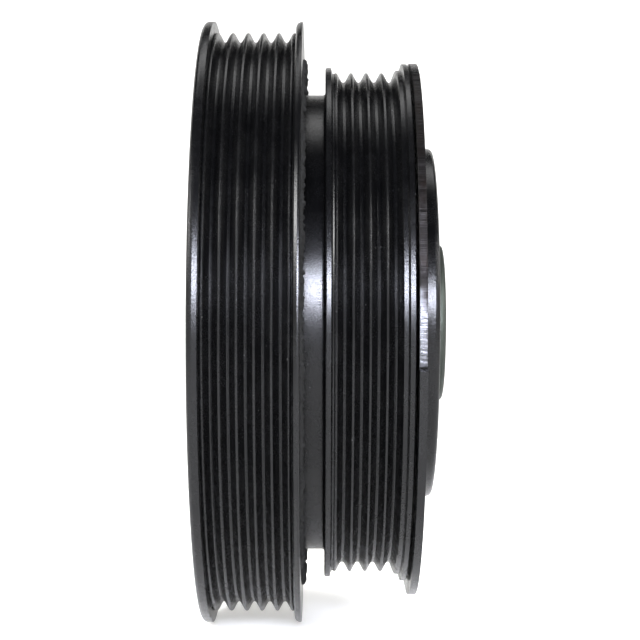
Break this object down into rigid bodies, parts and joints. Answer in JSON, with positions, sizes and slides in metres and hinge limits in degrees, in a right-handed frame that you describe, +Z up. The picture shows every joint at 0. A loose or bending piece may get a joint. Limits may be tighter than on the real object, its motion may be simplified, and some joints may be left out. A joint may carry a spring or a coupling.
{
  "type": "electromagnetic clutch",
  "caption": "Electromagnetic clutch: two-step grooved belt pulley on a double-row bearing around a fixed ring coil, with a spring-mounted armature plate and keyed hub.",
  "frame": {"origin": "centre of the register bore's mouth, on the rear mounting face", "axes": "+X along the shaft axis towards the front hub, +Z up, -Y towards the viewer of the side view"},
  "size_m": [0.0558, 0.1414, 0.1414],
  "materials": {
    "black_coat": "satin black electro-coat on steel",
    "armature_coat": "satin black coat with a sheared bare rim",
    "bare_steel": "machined steel, lightly oiled",
    "bearing_steel": "ground steel",
    "spring_steel": "blued spring steel",
    "zinc_steel": "phosphated and zinc plated steel",
    "rubber": "matt black rubber",
    "plastic": "glass-filled black nylon",
    "resin": "brown potting resin",
    "copper_wire": "enamelled copper wire",
    "brass": "stamped brass",
    "lining": "moulded friction lining"
  },
  "bodies": {
    "field": {"mounting_plate": "zinc_steel", "bearing_sleeve": "bare_steel", "coil_shell": "zinc_steel", "coil_bobbin": "plastic", "coil_winding": "copper_wire", "potting_ring": "resin", "coil_rivets": "zinc_steel", "terminal_block": "plastic", "terminal_blades": "brass", "bearing_inner_race": "bearing_steel", "sleeve_circlip": "spring_steel"},
    "pulley": {"large_sheave": "black_coat", "rubber_ring": "rubber", "pulley_drum": "black_coat", "rotor": "bare_steel", "friction_ring": "lining", "bearing_outer_race": "bearing_steel", "bearing_seal_rear": "rubber", "bearing_seal_front": "rubber", "bearing_snap_ring": "spring_steel"},
    "ball_set": {"ball_row_rear": "bearing_steel", "ball_row_front": "bearing_steel", "ball_cage_rear": "brass", "ball_cage_front": "brass"},
    "hub": {"hub_boss": "zinc_steel", "hub_disc": "black_coat", "hub_rivets": "bare_steel", "stop_bumpers": "rubber", "gap_shims": "spring_steel"},
    "armature": {"armature_plate": "armature_coat", "armature_rivets": "bare_steel", "leaf_springs": "spring_steel"}
  },
  "joints": [
    {"name": "pulley_spin", "type": "hinge", "parent": "field", "child": "pulley", "pos_m": [0.03, 0, 0], "axis": [1, 0, 0], "continuous": true},
    {"name": "cage_spin", "type": "hinge", "parent": "field", "child": "ball_set", "pos_m": [0.03, 0, 0], "axis": [1, 0, 0], "continuous": true},
    {"name": "hub_spin", "type": "hinge", "parent": "field", "child": "hub", "pos_m": [0.0366, 0, 0], "axis": [1, 0, 0], "continuous": true},
    {"name": "armature_slide", "type": "slide", "parent": "hub", "child": "armature", "axis": [-1, 0, 0], "range_m": [0, 0.0005], "stiffness_N_per_m": 40000, "deforming": ["leaf_springs"]}
  ],
  "couplings": [
    {"joint": "cage_spin", "follows": "pulley_spin", "ratio": 0.573}
  ]
}
